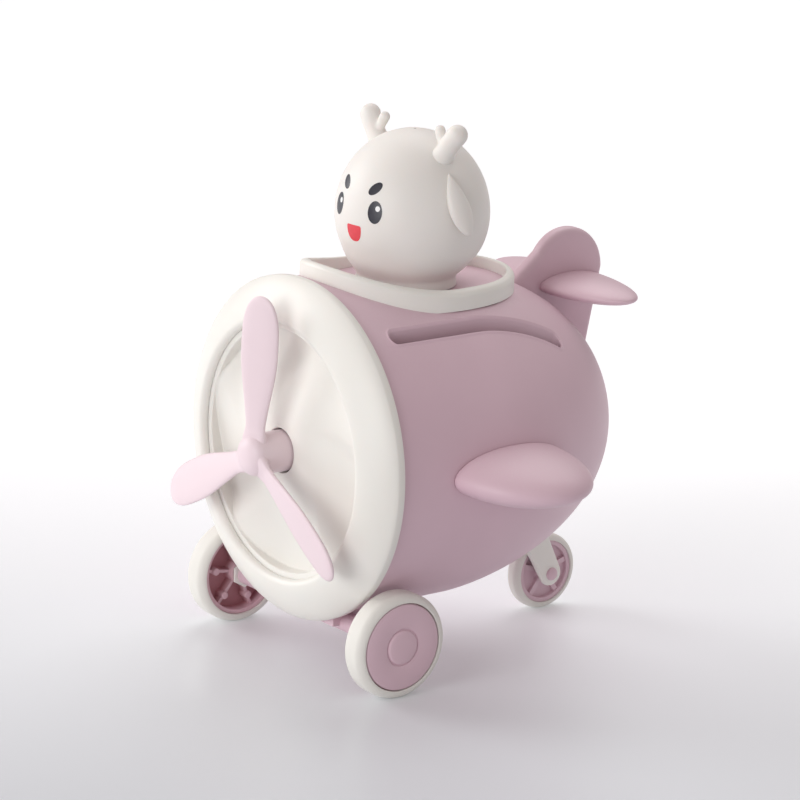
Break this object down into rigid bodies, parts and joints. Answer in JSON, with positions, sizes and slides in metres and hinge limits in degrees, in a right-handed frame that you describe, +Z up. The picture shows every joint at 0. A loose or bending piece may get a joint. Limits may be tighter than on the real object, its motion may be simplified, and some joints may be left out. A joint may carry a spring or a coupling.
{
  "type": "mechanical coin bank",
  "caption": "Aeroplane-shaped money bank: barrel fuselage with a long money slot, pull-off front cover, free propeller, turning antlered head and three rolling wheels.",
  "frame": {"origin": "on the ground, on the centre line, midway between the tip of the propeller hub and the rear edge of the fin", "axes": "the nose points to -Y, +X is the bank's own left, +Z is up"},
  "size_m": [0.19, 0.1668, 0.205],
  "materials": {
    "pink_plastic": "satin moulded plastic, dusty pink",
    "propeller_plastic": "satin moulded plastic, pale pink",
    "cream_plastic": "satin moulded plastic, warm white",
    "head_plastic": "satin soft vinyl, warm white, printed face",
    "cream_tyre": "matt soft elastomer, warm white",
    "brass": "turned",
    "steel": "bright drawn and rolled"
  },
  "bodies": {
    "root": {"fuselage_shell": "pink_plastic", "cockpit_coaming": "cream_plastic", "cockpit_floor": "pink_plastic", "floor_screws": "steel", "wing_left": "pink_plastic", "wing_right": "pink_plastic", "wing_screws": "steel", "tail_fin": "pink_plastic", "tailplane_left": "pink_plastic", "tailplane_right": "pink_plastic", "axle_housing": "pink_plastic", "front_axle_bushes": "cream_plastic", "tail_fork": "cream_plastic", "fork_screw": "steel", "tail_axle_pin": "pink_plastic", "tail_pin_cap": "pink_plastic"},
    "front_cover": {"cover_ring": "cream_plastic", "turbine_dish": "cream_plastic", "dish_screws": "steel", "propeller_bush": "brass"},
    "propeller": {"propeller": "propeller_plastic", "propeller_shaft": "steel", "propeller_washer": "steel"},
    "head": {"head_shell": "head_plastic", "antler_left": "head_plastic", "antler_right": "head_plastic", "ear_left": "head_plastic", "ear_right": "head_plastic", "neck_washer": "steel", "neck_screw": "steel"},
    "front_wheels": {"front_axle": "steel", "rim_left": "pink_plastic", "rim_right": "pink_plastic", "tyre_left": "cream_tyre", "tyre_right": "cream_tyre", "cap_left": "pink_plastic", "cap_right": "pink_plastic"},
    "tail_wheel": {"tail_rim": "pink_plastic", "tail_tyre": "cream_tyre"}
  },
  "joints": [
    {"name": "cover_pull", "type": "slide", "parent": "root", "child": "front_cover", "axis": [0, -1, 0], "range_m": [0, 0.03]},
    {"name": "propeller_spin", "type": "hinge", "parent": "front_cover", "child": "propeller", "pos_m": [0, -0.05755, 0.0834], "axis": [0, 1, 0], "continuous": true},
    {"name": "head_turn", "type": "hinge", "parent": "root", "child": "head", "pos_m": [0, -0.01105, 0.1408], "axis": [0, 0, 1], "continuous": true},
    {"name": "front_wheels_spin", "type": "hinge", "parent": "root", "child": "front_wheels", "pos_m": [0, -0.05005, 0.02], "axis": [1, 0, 0], "continuous": true},
    {"name": "tail_wheel_spin", "type": "hinge", "parent": "root", "child": "tail_wheel", "pos_m": [0, 0.06145, 0.0153], "axis": [1, 0, 0], "continuous": true}
  ]
}
